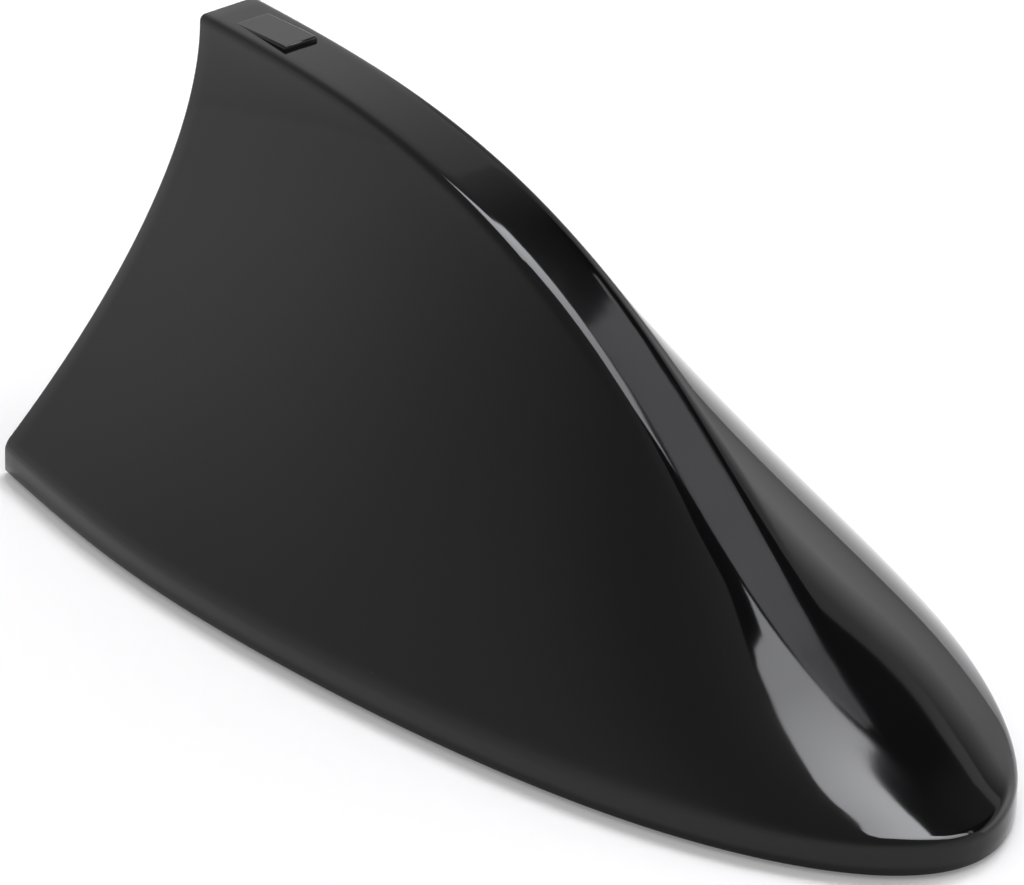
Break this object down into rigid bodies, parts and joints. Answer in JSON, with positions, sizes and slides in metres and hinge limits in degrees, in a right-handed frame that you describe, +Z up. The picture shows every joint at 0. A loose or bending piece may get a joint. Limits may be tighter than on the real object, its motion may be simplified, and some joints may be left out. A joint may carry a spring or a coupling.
{
  "type": "shark fin aerial",
  "caption": "Stick-on shark fin roof aerial: glossy moulded fin cover with a narrow crown, closed by a base plate with a foam adhesive ring and a rubber cable gland.",
  "frame": {"origin": "centre of the footprint's bounding box, on the face of the adhesive pad that meets the roof", "axes": "+X towards the low nose, +Z up from the roof, XZ is the plane of symmetry of the cover"},
  "size_m": [0.16, 0.0858, 0.062],
  "materials": {
    "gloss_black": "polished black moulding",
    "base_black": "fine matt moulding",
    "foam_pad": "closed-cell foam tape",
    "gland_rubber": "soft black rubber",
    "screw_steel": "bright zinc plate",
    "board_green": "lacquered glass-epoxy board",
    "tin_plate": "tinned sheet",
    "patch_ceramic": "unglazed ceramic tile",
    "holder_white": "natural nylon"
  },
  "bodies": {
    "root": {"fin_cover": "gloss_black", "base_plate": "base_black", "adhesive_pad": "foam_pad", "cable_gland": "gland_rubber", "cover_screws": "screw_steel", "circuit_board": "board_green", "board_screws": "screw_steel", "amplifier_shield": "tin_plate", "cable_socket": "base_black", "patch_antenna": "patch_ceramic", "plate_holder": "holder_white", "radiator_plate": "tin_plate"}
  },
  "joints": []
}
